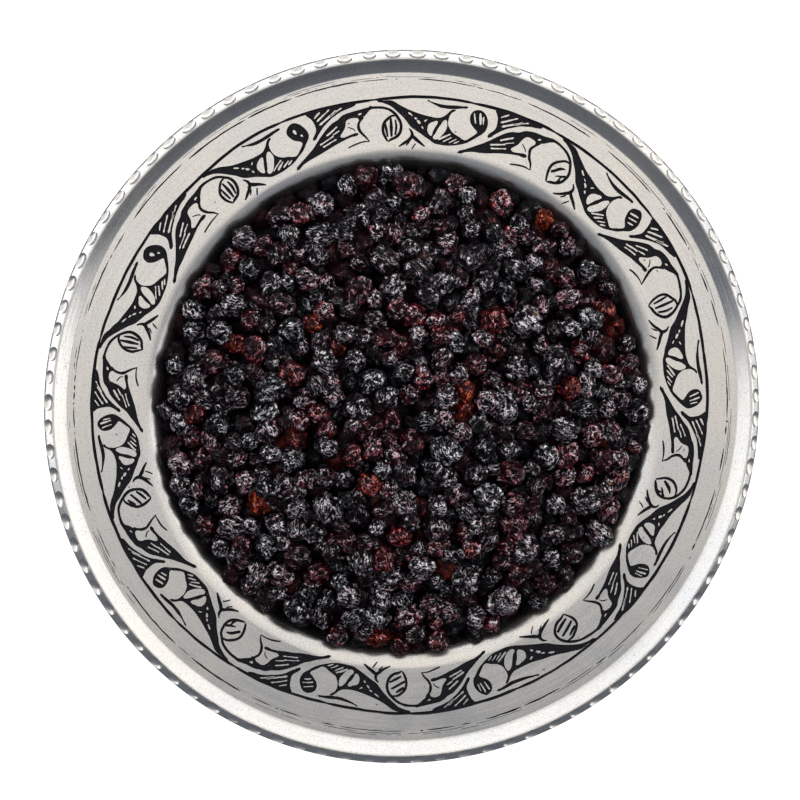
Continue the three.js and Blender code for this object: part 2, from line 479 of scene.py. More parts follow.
def cutAway(piece, cutters, name):
    box = bpy.data.collections.new(name)
    bpy.context.scene.collection.children.link(box)
    for cutter in cutters:
        for owner in list(cutter.users_collection):
            owner.objects.unlink(cutter)
        box.objects.link(cutter)
    modifier = piece.modifiers.new(name, "BOOLEAN")
    modifier.operation = "DIFFERENCE"
    modifier.solver = "MANIFOLD"
    modifier.operand_type = "COLLECTION"
    modifier.collection = box
    applyAll(piece)
    for cutter in cutters:
        bpy.data.objects.remove(cutter)
    bpy.data.collections.remove(box)


# Engraved scroll on the flange. One leaf that opens inwards and one that opens outwards are drawn once, in
# degrees round the bowl and millimetres from the axis, and cut ten times, wider or narrower as they were
# by hand.

scroll = {
    # degrees at which the leaves follow each other round the bowl, outward and inward in turn
    "leaves": [8.1, 27.8, 45.2, 62.5, 81.9, 97.8, 117.9, 133.8, 155.1, 171.3, 187.9, 203.4, 220.7, 238.4,
               257.4, 274.5, 292.0, 313.6, 331.1, 348.5],
    # radius of the bold border line over each leaf
    "border": [73.5, 74.9, 74.9, 74.9, 74.3, 73.6, 74.0, 73.1, 73.4, 74.0, 74.0, 74.2, 74.2, 73.9,
               73.4, 74.1, 73.7, 73.4, 73.4, 73.2],
    "borderWidth": 0.74,
    "innerEdge": 62.0,  # where the drawing stays as it is when the border comes nearer
    "steepness": 0.75,  # depth of a cut line for half its width
    "overcut": 0.008 * mm,  # of the line cutters over the metal
    "pocketDepth": 0.3 * mm,
    "slitWidth": 1.35,  # times the widths drawn below
    "uneven": 0.07,  # millimetres
    # thin broken lines by the rim: radius, share that is cut, and the thinnest and the widest cut
    "scribed": [(78.25, 1.0, 0.2, 0.46), (78.8, 0.45, 0.13, 0.2), (79.25, 0.25, 0.12, 0.16)],
    "specks": 3,  # of the graver in every leaf
    "aside": Vector((-0.35, 0.45)),  # millimetres by which the drawing is off the bowl's middle
    "redraws": 8,
    "edgeSlope": 0.97,  # a cut's edge faces up less than this
    "shallowest": 0.012 * mm,  # cut that is blackened where its face slopes
    "floorDepth": 0.05 * mm,  # and where it is level
    "seed": 5,
}

# blackened grounds: their outlines, and the buds and slits of bare metal left in them
leafGround = [
    (59.4, 74.6), (58.0, 74.5), (56.7, 74.4), (55.8, 73.9), (55.2, 73.4), (54.3, 72.7), (53.3, 72.0),
    (52.1, 71.3), (50.8, 70.8), (49.6, 70.4), (48.4, 70.1), (47.1, 70.0), (46.0, 70.2), (45.3, 70.6),
    (44.8, 71.3), (44.3, 72.2), (43.7, 72.6), (43.5, 72.4), (44.0, 71.7), (44.4, 70.8), (44.5, 69.8),
    (44.4, 68.8), (44.1, 67.9), (43.7, 67.2), (43.0, 66.6), (42.1, 66.1), (40.9, 65.5), (40.1, 66.3),
    (39.3, 67.4), (39.0, 68.1), (39.5, 68.7), (40.1, 69.3), (40.6, 70.2), (40.9, 71.2), (40.9, 72.0),
    (40.6, 72.8), (40.1, 73.3), (39.4, 73.6), (38.6, 73.1), (38.0, 72.1), (37.6, 70.9), (37.5, 69.6),
    (37.8, 68.5), (38.5, 67.4), (39.3, 66.2), (40.4, 65.1), (41.7, 64.2), (43.0, 63.6), (44.4, 63.4),
    (45.6, 63.4), (46.9, 63.6), (48.0, 64.2), (49.1, 64.9), (50.2, 65.7), (51.3, 66.5), (52.5, 67.5),
    (53.4, 68.8), (54.4, 70.1), (55.3, 71.2), (56.1, 72.2), (57.0, 73.1), (58.3, 73.9),
]
budOuter = [
    (48.7, 67.4), (48.4, 68.2), (47.5, 68.8), (46.6, 69.1), (46.5, 68.6), (47.0, 67.5), (47.4, 66.2),
    (47.7, 65.4), (48.2, 65.6), (48.6, 66.4),
]
budInner = [
    (44.9, 69.6), (45.4, 69.2), (45.9, 68.3), (46.3, 67.1), (46.8, 65.9), (47.2, 65.2), (47.0, 64.6),
    (46.1, 64.7), (45.4, 65.5), (44.9, 66.5), (44.6, 67.6), (44.6, 68.7),
]
leafSlits = [
    ((45.9, 64.5), (43.6, 66.3), 0.26), ((44.9, 64.2), (43.4, 65.7), 0.24),
    ((43.8, 64.2), (42.4, 65.4), 0.21), ((42.8, 64.2), (41.8, 65.0), 0.21),
    ((53.0, 70.9), (52.0, 70.1), 0.26), ((51.6, 69.6), (51.0, 69.2), 0.24),
    ((51.0, 68.9), (50.3, 68.1), 0.35), ((49.5, 68.8), (48.9, 69.3), 0.24),
    ((50.0, 67.5), (49.6, 66.9), 0.26),
]
# ways in which a leaf's eye is worked
eyeSlits = [
    [((39.6, 71.9), (39.4, 70.5), 0.5), ((38.8, 70.2), (38.5, 69.6), 0.3)],
    [((40.3, 72.6), (39.6, 70.0), 0.26), ((39.4, 72.9), (38.8, 70.0), 0.28),
     ((38.6, 72.2), (38.3, 70.2), 0.22)],
    [((40.4, 71.4), (38.6, 72.2), 0.26), ((40.1, 70.3), (38.2, 71.2), 0.26),
     ((39.5, 69.5), (38.2, 70.1), 0.24)],
]
fanGround = [
    (37.0, 74.8), (35.7, 74.9), (34.2, 75.1), (32.3, 75.0), (30.5, 74.8), (28.7, 74.5), (29.2, 73.9),
    (30.3, 73.5), (31.3, 73.1), (32.3, 72.5), (33.2, 71.8), (34.0, 71.1), (34.7, 70.3), (35.4, 69.4),
    (36.0, 68.5), (36.8, 67.6), (37.1, 67.9), (36.7, 68.8), (36.2, 69.7), (36.0, 70.6), (36.1, 71.8),
    (36.3, 72.8), (36.6, 73.7),
]
fanSlits = [
    ((35.8, 73.1), (34.6, 74.3), 0.26), ((35.6, 72.0), (33.0, 74.3), 0.26),
    ((35.3, 70.9), (31.9, 73.7), 0.26), ((33.3, 72.4), (31.0, 74.2), 0.24),
]
stemGround = [
    (41.9, 62.1), (40.7, 63.3), (39.4, 64.2), (38.2, 65.2), (37.1, 66.2), (36.1, 67.5), (35.1, 68.7),
    (34.1, 69.9), (33.1, 70.7), (32.1, 71.2), (31.3, 72.0), (30.4, 72.4), (29.3, 72.7), (27.8, 72.9),
    (26.3, 73.2), (25.2, 73.1), (26.2, 72.2), (27.0, 71.4), (27.7, 70.8), (28.2, 70.2), (28.5, 69.6),
    (28.7, 70.6), (29.5, 71.0), (30.3, 70.9), (30.8, 70.4), (31.0, 69.5), (31.4, 68.3), (31.9, 67.5),
    (32.2, 66.7), (31.0, 66.6), (29.8, 67.0), (29.1, 66.9), (29.1, 66.3), (30.2, 66.1), (31.5, 65.7),
    (33.0, 65.1), (34.5, 64.5), (36.0, 63.9), (37.5, 63.5), (39.0, 63.2), (40.4, 62.6),
]
stemSlits = [
    ((34.7, 67.8), (32.4, 69.6), 0.24), ((36.2, 66.0), (33.4, 67.4), 0.24),
    ((33.6, 67.5), (32.1, 68.4), 0.22), ((35.9, 65.3), (33.0, 66.5), 0.21),
    ((28.6, 71.5), (28.0, 71.8), 0.3),
]
lensGround = [
    (49.2, 74.2), (48.5, 73.9), (47.4, 73.6), (46.1, 73.4), (44.9, 73.4), (43.7, 73.6), (42.4, 73.7),
    (41.5, 73.6), (41.6, 73.3), (42.4, 73.1), (43.5, 72.7), (44.5, 72.5), (45.4, 72.5), (46.4, 72.6),
    (47.4, 73.0), (48.4, 73.5),
]

# single cuts, as knots of degrees, millimetres from the axis and the cut's width there
strokes = [
    [(27.8, 70.7, 0.41), (28.6, 69.6, 0.65), (28.9, 68.6, 0.71), (28.8, 67.6, 0.71),
     (28.4, 66.6, 0.65), (27.8, 65.6, 0.53), (27.1, 64.2, 0.29)],
    [(26.3, 72.9, 0.71), (24.8, 72.8, 0.65), (23.3, 72.5, 0.65), (22.0, 72.0, 0.65),
     (21.0, 71.3, 0.71), (20.1, 70.3, 0.71), (19.3, 69.2, 0.71), (18.8, 67.9, 0.76),
     (18.8, 66.5, 0.76), (19.4, 65.3, 0.76), (20.3, 64.5, 0.76), (21.4, 64.1, 0.71),
     (22.3, 63.7, 0.35)],
    [(19.9, 70.0, 0.35), (21.0, 70.1, 0.59), (22.0, 69.5, 0.71), (22.9, 68.6, 0.71),
     (23.3, 67.6, 0.71), (23.3, 66.2, 0.71), (23.0, 65.1, 0.65), (22.4, 63.8, 0.41)],
    [(31.3, 63.4, 0.41), (29.8, 64.0, 0.47), (28.4, 64.3, 0.41), (27.1, 64.3, 0.24)],
    [(30.7, 68.9, 0.24), (30.2, 68.5, 0.35), (29.7, 67.9, 0.29), (29.6, 67.4, 0.24)],
    [(52.8, 67.0, 0.29), (52.2, 66.2, 0.65), (52.1, 65.1, 0.88), (52.8, 64.1, 0.82),
     (53.8, 63.2, 0.71), (55.1, 62.4, 0.35)],
    [(52.1, 65.1, 0.82), (51.3, 64.3, 0.88), (50.3, 63.5, 0.76), (49.0, 62.5, 0.41)],
    [(51.1, 63.2, 0.35), (51.6, 62.4, 0.41), (52.1, 61.6, 0.3)],
    [(52.5, 63.8, 0.35), (52.9, 63.2, 0.41), (53.4, 62.6, 0.29)],
]
# and the ways in which the other leaf's eye is filled
eyeStrokes = [
    [[(22.6, 66.3, 0.65), (21.9, 67.1, 0.82), (21.1, 68.0, 0.82), (20.1, 68.5, 0.35)],
     [(21.1, 65.9, 0.29), (20.4, 66.3, 0.53), (19.7, 66.6, 0.65), (19.0, 67.1, 0.65)],
     [(19.9, 66.4, 0.41), (19.9, 65.5, 0.71), (20.1, 64.6, 0.76)]],
    [[(22.8, 68.0, 0.7), (21.9, 68.5, 0.75), (20.9, 69.2, 0.5)],
     [(22.9, 66.4, 0.55), (21.4, 67.2, 0.7), (19.7, 68.2, 0.55)],
     [(22.2, 65.0, 0.5), (20.8, 65.7, 0.75), (19.3, 66.6, 0.6)]],
    [[(22.6, 68.6, 0.45), (22.4, 66.9, 0.7), (22.2, 65.0, 0.5)],
     [(21.3, 69.6, 0.5), (21.2, 67.2, 0.8), (21.2, 64.9, 0.5)],
     [(20.1, 69.0, 0.4), (19.9, 67.2, 0.7), (20.2, 65.2, 0.55)]],
]


def between(values, place):
    # a closed ring of values, read between its entries
    low = math.floor(place)
    share = place - low
    share = share * share * (3 - 2 * share)
    return values[low % len(values)] * (1 - share) + values[(low + 1) % len(values)] * share


def leafAngle(count):
    # the angle of a place that is counted in leaves
    leaves = scroll["leaves"]
    low = math.floor(count)
    first, second = [leaves[index % len(leaves)] + 360 * (index // len(leaves)) for index in (low, low + 1)]
    return first + (second - first) * (count - low)


def leafCount(angle):
    low = 0
    while leafAngle(low) > angle:
        low -= 1
    while leafAngle(low + 1) <= angle:
        low += 1
    return low + (angle - leafAngle(low)) / (leafAngle(low + 1) - leafAngle(low))


def onFlange(angle, radius, repeat):
    # a drawn point in its place in one repeat, in degrees and millimetres
    drawn = leafCount(angle)
    count = drawn + 2 * repeat
    stretch = between(scroll["border"], count) - between(scroll["border"], drawn)
    inner = scroll["innerEdge"]
    share = min(1.0, max(0.0, (radius - inner) / (between(scroll["border"], drawn) - inner)))
    return leafAngle(count), radius + stretch * share


def drawnSpot(angle, radius):
    # the same point across the bowl, in millimetres
    turn = math.radians(angle)
    return Vector((math.cos(turn), math.sin(turn))) * radius + scroll["aside"]


def metalHeight(radius):
    # the flange is flat, and falls over the shoulder inside it
    middle, height = shoulderMiddle
    if radius >= middle:
        return bowl["flangeTop"]
    return height + math.sqrt(bowl["shoulder"] ** 2 - (middle - radius) ** 2)


def handDrawn(line, repeat, chance, moved=0.0):
    # where a line's points fall in one repeat, each a little off, and all of them moved a little together
    uneven = scroll["uneven"]
    aside = chance.uniform(-moved, moved)
    out = chance.uniform(-moved, moved)
    spots = []
    for angle, radius in line:
        angle, radius = onFlange(angle, radius, repeat)
        spots.append((angle + math.degrees((aside + chance.uniform(-uneven, uneven)) / radius),
                      radius + out + chance.uniform(-uneven, uneven)))
    return spots


def sliver(first, last, width):
    # outline of a slit of bare metal between two points
    perDegree = math.radians((first[1] + last[1]) / 2)
    run = Vector(((last[0] - first[0]) * perDegree, last[1] - first[1]))
    side = Vector((-run.y, run.x)).normalized() * width / 2
    spots = []
    for share, out in ((0, 0), (0.25, 1), (0.75, 0.8), (1, 0), (0.75, -0.8), (0.25, -1)):
        spot = run * share + side * out
        spots.append((first[0] + spot.x / perDegree, first[1] + spot.y))
    return spots


def lineCuts(chance):
    # every single cut as its points in degrees and millimetres, and its width at each
    cuts = []
    for repeat in range(len(scroll["leaves"]) // 2):
        for stroke in strokes + chance.choice(eyeStrokes):
            spots = handDrawn([knot[:2] for knot in stroke], repeat, chance, 0.05)
            cuts.append((spots, [knot[2] * chance.uniform(0.88, 1.1) for knot in stroke]))
        for _ in range(scroll["specks"]):
            angle = chance.uniform(16, 56)
            radius = chance.uniform(64.5, 73.5)
            long = chance.uniform(0.1, 0.45)
            line = [(angle, radius), (angle + long, radius + chance.uniform(-0.1, 0.1))]
            cuts.append((handDrawn(line, repeat, chance), [0.22, 0.3]))
    return cuts


def pressed(full, count, low, high, chance):
    # widths along a cut, as hard as the hand pressed, and thin at both ends
    widths = [full * chance.uniform(low, high) for _ in range(count)]
    widths[0] = widths[-1] = full * 0.4
    return widths


def borderCuts(chance):
    # the bold line under the leaves' tips, cut in lengths that overlap
    cuts = []
    angle = 0.0
    while angle < 360:
        length = chance.uniform(14, 30)
        steps = max(3, round(length / 2))
        spots = []
        for step in range(steps + 1):
            here = angle + length * step / steps
            spots.append((here, between(scroll["border"], leafCount(here)) + chance.uniform(-0.05, 0.05)))
        full = scroll["borderWidth"] * chance.uniform(0.9, 1.12)
        cuts.append((spots, pressed(full, len(spots), 0.88, 1.08, chance)))
        angle += length - 1.2
    return cuts


def scribedCuts(chance):
    cuts = []
    for radius, share, thin, thick in scroll["scribed"]:
        angle = 0.0
        while angle < 360:
            length = chance.choice((0.5, 1.0, 1.6, 2.4, 4.0, 7.0, 11.0)) * chance.uniform(0.8, 1.2)
            steps = max(2, round(length / 1.2))
            level = radius + chance.uniform(-0.06, 0.06)
            full = chance.uniform(thin, thick)
            if chance.random() < share:
                spots = [(angle + length * step / steps, level + chance.uniform(-0.04, 0.04))
                         for step in range(steps + 1)]
                cuts.append((spots, pressed(full, len(spots), 0.75, 1.15, chance)))
            angle += length + chance.choice((0.3, 0.6, 1.2, 3.0)) * chance.uniform(0.7, 1.3)
    return cuts


def emptyCurve():
    bpy.ops.curve.primitive_bezier_curve_add()
    tool = bpy.context.object
    tool.data.splines.clear()
    return tool, tool.data


def splineThrough(curve, points, closed):
    spline = curve.splines.new("BEZIER")
    spline.bezier_points.add(len(points) - 1)
    spline.use_cyclic_u = closed
    for knot, point in zip(spline.bezier_points, points):
        knot.co = point
        knot.handle_left_type = knot.handle_right_type = "AUTO"
    return spline


def curveToTool(tool):
    onlySelected(tool)
    bpy.ops.object.convert(target="MESH")
    tool = bpy.context.object
    editing(tool)
    bpy.ops.mesh.select_all(action="SELECT")
    return tool


def pocket(outline, standing):
    # a block in the shape of one ground, with holes for what stands in it, drawn in millimetres
    tool, curve = emptyCurve()
    curve.dimensions = "2D"
    curve.fill_mode = "BOTH"
    curve.extrude = scroll["pocketDepth"] / mm
    curve.resolution_u = 2
    for spots in [outline] + standing:
        splineThrough(curve, [(*drawnSpot(angle, radius), 0) for angle, radius in spots], True)
    tool = curveToTool(tool)
    bpy.ops.mesh.remove_doubles(threshold=0.0005)
    bpy.ops.transform.resize(value=(mm, mm, mm), center_override=(0, 0, 0))
    bpy.ops.transform.translate(value=(0, 0, bowl["flangeTop"]))
    bpy.ops.mesh.normals_make_consistent(inside=False)
    doneEditing()
    return tool


def isClosed(piece):
    mesh = bmesh.new()
    mesh.from_mesh(piece.data)
    closed = all(edge.is_manifold for edge in mesh.edges)
    mesh.free()
    return closed


def groundBlock(outline, islands, slits, repeat, chance):
    for _ in range(scroll["redraws"]):
        standing = [handDrawn(island, repeat, chance) for island in islands]
        for first, last, width in slits:
            width *= scroll["slitWidth"] * chance.uniform(0.75, 1.2)
            standing.append(handDrawn(sliver(first, last, width), repeat, chance, 0.06))
        block = pocket(handDrawn(outline, repeat, chance), standing)
        if isClosed(block):
            return block
        # two of its lines have met, so it is drawn again
        bpy.data.objects.remove(block)
    return None


def grounds(chance):
    # a block for every blackened ground
    blocks = []
    for repeat in range(len(scroll["leaves"]) // 2):
        leaf = leafSlits + chance.choice(eyeSlits)
        for outline, islands, slits in ((leafGround, [budOuter, budInner], leaf), (fanGround, [], fanSlits),
                                        (stemGround, [], stemSlits), (lensGround, [], [])):
            blocks.append(groundBlock(outline, islands, slits, repeat, chance))
    return [block for block in blocks if block]


def graver(cuts):
    # each cut as a diamond section drawn along its line, shallower than it is wide
    tool, curve = emptyCurve()
    curve.dimensions = "3D"
    curve.twist_mode = "Z_UP"
    curve.bevel_depth = 1.0
    curve.bevel_resolution = 0
    curve.resolution_u = 3
    curve.use_fill_caps = True
    steep = scroll["steepness"]
    level = bowl["flangeTop"]
    for spots, widths in cuts:
        points = []
        for angle, radius in spots:
            spot = drawnSpot(angle, radius) * mm
            # heights are drawn stretched, and the squeeze below brings them back
            height = level + (metalHeight(spot.length) + scroll["overcut"] - level) / steep
            points.append((*spot, height))
        spline = splineThrough(curve, points, False)
        for knot, width in zip(spline.bezier_points, widths):
            knot.radius = width / 2 * mm
    tool = curveToTool(tool)
    bpy.ops.mesh.remove_doubles(threshold=0.0005 * mm)
    bpy.ops.transform.resize(value=(1, 1, steep), center_override=(0, 0, level))
    bpy.ops.mesh.normals_make_consistent(inside=False)
    bpy.ops.mesh.separate(type="LOOSE")
    doneEditing()
    return list(bpy.context.selected_objects)


def makeBowl():
    chance = random.Random(bowl["seed"])
    piece = turnedBowl()
    print("bowl turned:", len(piece.data.polygons), "faces")
    cutAway(piece, dentCutters(chance), "dents")
    print("rim dented:", len(piece.data.polygons), "faces")
    chance = random.Random(scroll["seed"])
    cuts = graver(lineCuts(chance) + borderCuts(chance) + scribedCuts(chance))
    print("lines drawn:", len(cuts))
    pockets = grounds(chance)
    print("grounds drawn:", len(pockets))
    cutAway(piece, pockets + cuts, "scroll")
    print("scroll cut:", len(piece.data.polygons), "faces")
    piece.data.materials.clear()
    piece.data.materials.append(tinnedMetal())
    piece.data.materials.append(blackenedCut())
    editing(piece)
    inner = shoulderMiddle[0] - bowl["shoulder"] / 2

    def isCut(face):
        middle = face.calc_center_median()
        reach = math.hypot(middle.x, middle.y)
        if not inner < reach < bowl["flangeEnd"] or middle.z < bowl["flangeTop"] - bowl["sheet"] * 0.9:
            return False
        depth = metalHeight(reach) - middle.z
        sloping = face.normal.z < scroll["edgeSlope"]
        return depth > scroll["floorDepth"] or (depth > scroll["shallowest"] and sloping)

    pickFaces(piece, isCut)
    piece.active_material_index = 1
    bpy.ops.object.material_slot_assign()
    doneEditing()
    bpy.ops.object.shade_smooth_by_angle(angle=math.radians(30))
    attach(piece, "root")
    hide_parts("bowl")


makeBowl()
print("bowl done")


# Currants

# in millimetres, as in the solid model, so that its rounding doesn't send a berry elsewhere
heap = {
    "drops": 1300,
    "candidates": 16,
    "berrySmall": 1.7,
    "berryLarge": 3.7,
    "tightness": 0.9,
    "edgeShare": 0.6,
    "radius": 57.8,
    "edge": round(bowl["flangeTop"] / mm, 3) + 0.6,
    "rise": 12.5,
    "depth": 6.5,
    "full": 0.2,
    "firstRoll": 0.4,
    "lastRoll": 0.15,
    "shorterRoll": 0.7,
    "seed": 20817,
    "shape": (1.14, 1.05, 0.96),
    "coreDepth": 4.5,
}

berry = {
    "kinds": 36,
    "stalkEnd": 0.955,  # height over which a berry of unit radius is pushed in
    "stalkHollow": (0.12, 0.3),
    "lumps": 0.52,  # share of the radius
    "lumpScale": 1.2,
    "folds": 0.46,
    "foldScale": 0.9,
    "creases": 0.3,
    "creaseScale": 0.48,
    "fineCreases": 0.14,
    "fineCreaseScale": 0.24,
    "fullness": 0.96,  # mean reach of a berry's skin, as a share of its radius
    "farthest": 1.14,  # past this reach a lump is pressed down
    "pressed": 0.35,  # to this share of what it stands out
    "shownFaces": 1300,
    "hiddenFaces": 300,
    "hiddenDepth": 3.4 * mm,  # of a berry's middle below the heap's surface
    "shadeDepth": 4.4 * mm,
    "shadeFade": 2.8 * mm,
    "seed": 77,
    # darkest, plum, wine, red, and orange red berries: their share, and their lowest and highest tone
    "blend": [(0.55, 0.05, 0.34), (0.39, 0.34, 0.52), (0.04, 0.58, 0.72), (0.017, 0.75, 0.86),
              (0.003, 0.86, 0.94)],
}


class Draws:
    # the same run of numbers as in the solid model
    def __init__(self, seed):
        self.state = seed

    def next(self):
        self.state = self.state * 16807 % 2147483647
        return self.state / 2147483647


def heapHeight(distance):
    share = min(1, distance / heap["radius"])
    return heap["edge"] + heap["rise"] * (1 - share * share)


def restHeight(x, y, radius, berries):
    height = heapHeight(math.sqrt(x * x + y * y)) - heap["depth"] + radius * heap["tightness"]
    for ox, oy, oz, other in berries:
        dx = x - ox
        dy = y - oy
        reach = (radius + other) * heap["tightness"]
        room = reach * reach - dx * dx - dy * dy
        if room > 0:
            height = max(height, oz + math.sqrt(room))
    return height


def dropBerry(berries, draws):
    small = heap["berrySmall"]
    radius = small + (heap["berryLarge"] - small) * (draws.next() + draws.next()) / 2
    limit = heap["radius"] - radius * heap["edgeShare"]
    spot = None
    tried = 0
    while tried < heap["candidates"]:
        x = (2 * draws.next() - 1) * limit
        y = (2 * draws.next() - 1) * limit
        distance = math.sqrt(x * x + y * y)
        if distance > limit:
            continue
        tried += 1
        z = restHeight(x, y, radius, berries)
        above = z - heapHeight(distance)
        if spot is None or above < spot[3]:
            spot = (x, y, z, above)
    x, y, z = spot[:3]
    step = radius * heap["firstRoll"]
    while step > heap["lastRoll"]:
        for alongX, alongY in ((1, 0), (-1, 0), (0, 1), (0, -1)):
            newX = x + alongX * step
            newY = y + alongY * step
            if math.sqrt(newX * newX + newY * newY) > limit:
                continue
            newZ = restHeight(newX, newY, radius, berries)
            if newZ < z:
                x, y, z = newX, newY, newZ
        step *= heap["shorterRoll"]
    tilt = draws.next() * math.pi
    heading = draws.next() * 2 * math.pi
    return x, y, z, radius, tilt, heading


def settledBerries():
    draws = Draws(heap["seed"])
    kept = []
    for _ in range(heap["drops"]):
        x, y, z, radius, tilt, heading = dropBerry([entry[:4] for entry in kept], draws)
        if z - heapHeight(math.sqrt(x * x + y * y)) < heap["full"]:
            kept.append((x, y, z, radius, tilt, heading))
    return [(x * mm, y * mm, z * mm, radius * mm, tilt, heading) for x, y, z, radius, tilt, heading in kept]


def foldTexture(name, kind, scale):
    texture = bpy.data.textures.new(name, kind)
    texture.noise_scale = scale
    if kind == "VORONOI":
        texture.distance_metric = "DISTANCE_SQUARED"  # round hollows that meet in sharp ridges
    return texture


def displace(piece, texture, strength, level, empty):
    modifier = piece.modifiers.new(texture.name, "DISPLACE")
    modifier.texture = texture
    modifier.texture_coords = "OBJECT"
    modifier.texture_coords_object = empty
    modifier.strength = strength
    modifier.mid_level = level


def ridgeOf(piece):
    # how far each point stands out from its neighbours, from 0 in a crease to 1 on a ridge
    mesh = bmesh.new()
    mesh.from_mesh(piece.data)
    values = []
    for vert in mesh.verts:
        around = [edge.other_vert(vert).co for edge in vert.link_edges]
        middle = sum(around, Vector()) / len(around)
        reach = sum((spot - vert.co).length for spot in around) / len(around)
        values.append((vert.co - middle).dot(vert.normal) / reach)
    smooth = []
    for vert in mesh.verts:
        around = [values[edge.other_vert(vert).index] for edge in vert.link_edges]
        smooth.append(0.5 * values[vert.index] + 0.5 * sum(around) / len(around))
    mesh.free()
    return [max(0.0, min(1.0, 0.45 + 1.6 * value)) for value in smooth]


def wrinkledBerry(chance, empty, textures):
    lumps, folds, fine, finest = textures
    bpy.ops.mesh.primitive_ico_sphere_add(subdivisions=6, radius=1)
    piece = bpy.context.object
    editing(piece)
    bpy.ops.mesh.select_all(action="DESELECT")
    mesh = bmesh.from_edit_mesh(piece.data)
    for vert in mesh.verts:
        vert.select_set(vert.co.z > berry["stalkEnd"])
    mesh.select_flush(True)
    bmesh.update_edit_mesh(piece.data)
    # the hollow that the stalk left
    bpy.ops.transform.translate(value=(0, 0, -chance.uniform(*berry["stalkHollow"])))
    doneEditing()
    empty.location = [chance.uniform(-40, 40) for _ in range(3)]
    empty.scale = [chance.uniform(0.75, 1.4) for _ in range(3)]
    empty.rotation_euler = [chance.uniform(0, 6.3) for _ in range(3)]
    bpy.context.view_layer.update()
    displace(piece, lumps, berry["lumps"] * chance.uniform(0.7, 1.3), 0.5, empty)
    displace(piece, folds, berry["folds"] * chance.uniform(0.75, 1.25), 0.2, empty)
    displace(piece, fine, berry["creases"] * chance.uniform(0.8, 1.2), 0.2, empty)
    displace(piece, finest, berry["fineCreases"], 0.2, empty)
    applyAll(piece)
    lengths = [vert.co.length for vert in piece.data.vertices]
    piece.data.transform(Matrix.Scale(berry["fullness"] * len(lengths) / sum(lengths), 4))
    for vert in piece.data.vertices:
        over = vert.co.length - berry["farthest"]
        if over > 0:
            vert.co.length = berry["farthest"] + over * berry["pressed"]
    return piece


def thinned(piece, faces):
    modifier = piece.modifiers.new("thinned", "DECIMATE")
    modifier.ratio = faces / len(piece.data.polygons)
    applyAll(piece)
    setAttribute(piece, "ridge", ridgeOf(piece))
    setAttribute(piece, "girth", [vert.co.z for vert in piece.data.vertices])
    setAttribute(piece, "scar", [max(0.0, min(1.0, (vert.co.normalized().z - berry["stalkEnd"]) * 26))
                                 for vert in piece.data.vertices])
    return piece


def berryKinds(chance):
    # wrinkled berries of unit radius, each folded by another part of the same textures, fine and coarse
    bpy.ops.object.empty_add()
    empty = bpy.context.object
    textures = (foldTexture("lumps", "CLOUDS", berry["lumpScale"]),
                foldTexture("folds", "VORONOI", berry["foldScale"]),
                foldTexture("creases", "VORONOI", berry["creaseScale"]),
                foldTexture("fineCreases", "VORONOI", berry["fineCreaseScale"]))
    kinds = []
    for _ in range(berry["kinds"]):
        piece = wrinkledBerry(chance, empty, textures)
        hidden = thinned(ownCopy(piece, "hiddenBerry"), berry["hiddenFaces"])
        kinds.append((thinned(piece, berry["shownFaces"]), hidden))
    bpy.data.objects.remove(empty)
    return kinds


def berryTone(chance):
    draw = chance.random()
    for share, low, high in berry["blend"]:
        if draw < share:
            return chance.uniform(low, high)
        draw -= share
    return 0.5


berryLook = {
    # the skin's own colours in the creases, and the colours of the highlights painted on its ridges, from
    # the darkest berry to the brightest
    "creases": [(0.0, (0.0012, 0.0012, 0.0025)), (0.35, (0.003, 0.0013, 0.003)),
                (0.5, (0.008, 0.0015, 0.003)), (0.75, (0.018, 0.002, 0.003)),
                (0.92, (0.05, 0.005, 0.003)), (1.0, (0.09, 0.014, 0.005))],
    "ridges": [(0.0, (0.55, 0.54, 0.62)), (0.3, (0.55, 0.44, 0.52)), (0.45, (0.47, 0.18, 0.24)),
               (0.62, (0.55, 0.05, 0.05)), (0.8, (0.8, 0.08, 0.03)), (0.93, (0.85, 0.17, 0.04)),
               (1.0, (0.85, 0.3, 0.1))],
    "scar": (0.2, 0.11, 0.06),
    "patchScale": 520.0,
    "foldScale": 840.0,
    "grainScale": 3000.0,
    "netDepth": 0.16 * mm,
    "gloss": 0.2,
    "shine": 3.2,  # coat's index of refraction on the ridges
    "shineRough": 0.17,
    "dullShine": 0.06,
    "paintedShine": 1.05,  # how bright the painted highlights on the plainest berry's ridges are
    "morePaintedShine": 1.8,  # and how much brighter those of a few can be
    "redPaintedShine": 1.6,  # of a red berry, at least
    "scarred": 0.06,  # share of the berries that show where the stalk was
}


